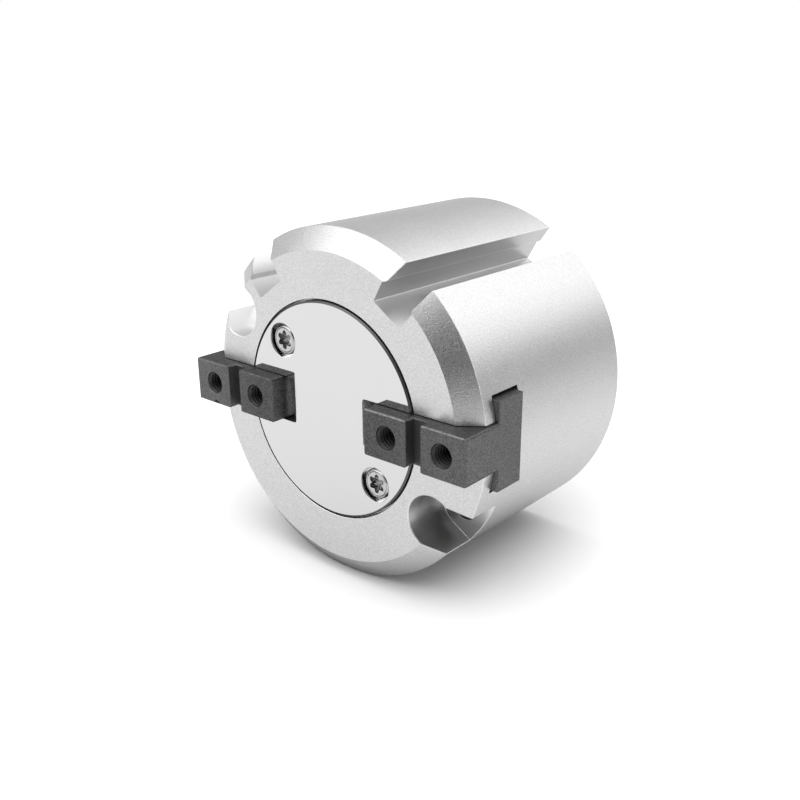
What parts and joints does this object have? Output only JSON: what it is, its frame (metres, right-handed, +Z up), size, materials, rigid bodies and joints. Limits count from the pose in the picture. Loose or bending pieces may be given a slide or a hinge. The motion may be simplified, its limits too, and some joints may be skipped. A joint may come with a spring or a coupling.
{
  "type": "round-body parallel gripper",
  "caption": "Round pneumatic parallel gripper: a piston pushes a wedge cam that slides flanged fingers apart and together in T-slots across the front face, round a flush cover plate.",
  "frame": {"origin": "centre of the flat rear mounting face", "axes": "+Y out of the rear mounting face, so the fingers face -Y; X along the fingers' travel; +Z up, midway between the sensor grooves"},
  "size_m": [0.0628, 0.0461, 0.062],
  "materials": {
    "body": "bead-blasted, clear anodised",
    "cover": "polished stainless",
    "screws": "bright nickel",
    "fingers": "dark heat-treated, matt",
    "cam": "hardened and ground",
    "piston": "turned, clear anodised",
    "cap": "turned, clear anodised",
    "magnet": "rubber-bonded ferrite",
    "seals": "nitrile rubber",
    "bumpers": "urethane",
    "bush": "sintered bronze",
    "bolt": "black oxide",
    "spring_steel": "phosphated spring steel"
  },
  "bodies": {
    "housing": {"body": "body", "end_plate": "cover", "end_plate_screws": "screws", "rod_seal": "seals", "rod_bush": "bush", "front_bumper": "bumpers", "rear_bumper": "bumpers", "rear_cap": "cap", "cap_gasket": "seals", "snap_ring": "spring_steel"},
    "piston_assembly": {"wedge_cam": "cam", "piston": "piston", "magnet_holder": "piston", "magnet_ring": "magnet", "piston_seal": "seals", "piston_gasket": "seals", "piston_bolt": "bolt", "bolt_washer": "bolt"},
    "right_jaw": {"right_finger": "fingers"},
    "left_jaw": {"left_finger": "fingers"}
  },
  "joints": [
    {"name": "piston_slide", "type": "slide", "parent": "housing", "child": "piston_assembly", "axis": [0, -1, 0], "range_m": [-0.00433, 0.0026]},
    {"name": "right_finger_slide", "type": "slide", "parent": "housing", "child": "right_jaw", "axis": [1, 0, 0], "range_m": [-0.0025, 0.0015]},
    {"name": "left_finger_slide", "type": "slide", "parent": "housing", "child": "left_jaw", "axis": [-1, 0, 0], "range_m": [-0.0025, 0.0015]}
  ],
  "couplings": [
    {"joint": "right_finger_slide", "follows": "piston_slide", "ratio": 0.57735},
    {"joint": "left_finger_slide", "follows": "piston_slide", "ratio": 0.57735}
  ]
}
